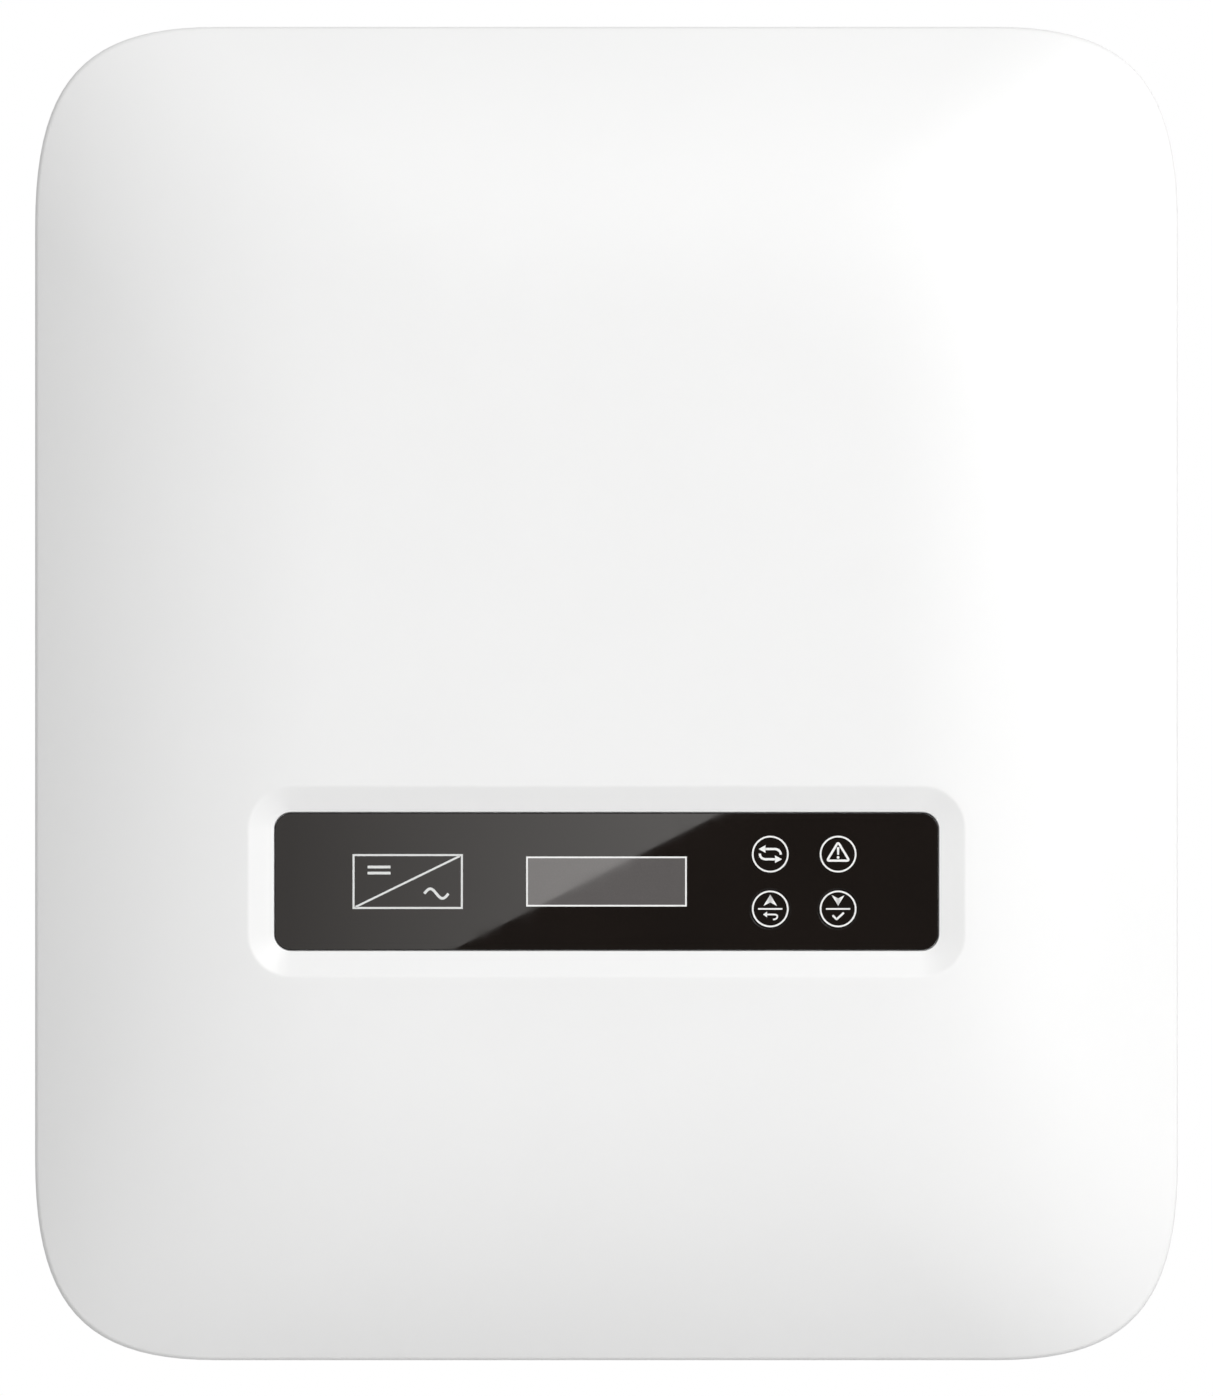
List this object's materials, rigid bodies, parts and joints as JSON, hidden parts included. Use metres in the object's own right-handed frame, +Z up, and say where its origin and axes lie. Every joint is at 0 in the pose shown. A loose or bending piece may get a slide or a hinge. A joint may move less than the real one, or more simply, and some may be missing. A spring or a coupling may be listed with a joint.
{
  "type": "string inverter",
  "caption": "Wall-hung solar string inverter: pillow-shaped white front cover with a black display window, finned heat sink, wall bracket, solar, data and grid sockets.",
  "frame": {"origin": "on the wall plane, at the middle of the bracket's fixing holes", "axes": "+X to the right and +Z up for someone facing the front, which looks along -Y; +Y points into the wall"},
  "size_m": [0.36, 0.15, 0.42],
  "materials": {
    "zinc_steel": "zinc-coated sheet steel, satin",
    "screw_steel": "stainless, machined",
    "heat_sink_metal": "cast and inserted aluminium, satin",
    "chassis_paint": "die-cast aluminium, pale grey powder coat",
    "cover_white": "pressed aluminium, white satin paint",
    "window_black": "glossy black acrylic",
    "rubber": "black moulded rubber, matte",
    "board_green": "green solder mask, satin",
    "black_plastic": "black glass-filled nylon, matte",
    "grey_plastic": "grey moulded plastic, matte",
    "clear_plastic": "clear acrylic",
    "lcd_glass": "grey-green display glass",
    "ribbon_grey": "grey flat cable",
    "brass": "machined brass",
    "contact_tin": "tinned copper alloy",
    "module_resin": "black moulding resin",
    "capacitor_sleeve": "shrink sleeve on aluminium can",
    "film_box": "red-brown moulded box",
    "ferrite": "coated ferrite and iron powder",
    "varistor_blue": "blue dipped resin",
    "terminal_green": "green moulded plastic",
    "winding_copper": "enamelled copper",
    "fibre_board": "glass-fibre board",
    "lead_red": "red insulated wire",
    "lead_black": "black insulated wire",
    "lead_brown": "brown insulated wire",
    "lead_grey": "grey jacketed cable"
  },
  "bodies": {
    "bracket": {"wall_bracket": "zinc_steel"},
    "unit": {"hanger_rail": "zinc_steel", "hanger_screws": "screw_steel", "wall_spacers": "rubber", "heat_sink_base": "heat_sink_metal", "heat_sink_fins": "heat_sink_metal", "heat_sink_seal": "rubber", "heat_sink_screws": "screw_steel", "chassis": "chassis_paint", "cover_seal": "rubber", "cover_screws": "screw_steel", "front_cover": "cover_white", "display_window": "window_black", "window_seal": "rubber", "display_board": "board_green", "lcd_frame": "black_plastic", "lcd_glass": "lcd_glass", "indicator_lights": "clear_plastic", "key_switches": "black_plastic", "ribbon_cable": "ribbon_grey", "main_board": "board_green", "board_standoffs": "brass", "board_screws": "screw_steel", "power_modules": "module_resin", "dc_link_capacitors": "capacitor_sleeve", "film_capacitors": "film_box", "common_mode_chokes": "ferrite", "relays": "black_plastic", "varistors": "varistor_blue", "terminal_blocks": "terminal_green", "control_board": "board_green", "control_chips": "black_plastic", "inductor_cores": "ferrite", "inductor_windings": "winding_copper", "inductor_clamps": "fibre_board", "dc_switch_body": "black_plastic", "dc_switch_plate": "grey_plastic", "pv_sockets_positive": "black_plastic", "pv_sockets_negative": "black_plastic", "pv_contacts": "contact_tin", "pv_nuts": "black_plastic", "socket_seals": "rubber", "vent_valve": "grey_plastic", "com_port": "black_plastic", "ac_socket": "black_plastic", "ac_insert": "grey_plastic", "ac_pins": "contact_tin", "ac_screws": "screw_steel", "earth_screw": "brass", "pv_leads_red": "lead_red", "pv_leads_black": "lead_black", "terminal_leads": "lead_brown", "com_cable": "lead_grey"},
    "dc_knob": {"dc_switch_knob": "black_plastic", "dc_switch_shaft": "screw_steel", "dc_knob_screw": "screw_steel"},
    "key_up": {"key_up": "window_black"},
    "key_down": {"key_down": "window_black"},
    "com_cap": {"com_cap": "black_plastic"}
  },
  "joints": [
    {"name": "unit_lift", "type": "slide", "parent": "bracket", "child": "unit", "axis": [0, 0, 1], "range_m": [0, 0.018]},
    {"name": "dc_switch_turn", "type": "hinge", "parent": "unit", "child": "dc_knob", "pos_m": [-0.1177, -0.0705, -0.175], "axis": [0, 0, 1], "range_deg": [0, 90]},
    {"name": "key_up_press", "type": "slide", "parent": "unit", "child": "key_up", "axis": [0, 1, 0], "range_m": [0, 0.0006], "stiffness_N_per_m": 2500},
    {"name": "key_down_press", "type": "slide", "parent": "unit", "child": "key_down", "axis": [0, 1, 0], "range_m": [0, 0.0006], "stiffness_N_per_m": 2500},
    {"name": "com_cap_pull", "type": "slide", "parent": "unit", "child": "com_cap", "axis": [0, 0, -1], "range_m": [0, 0.03]}
  ]
}
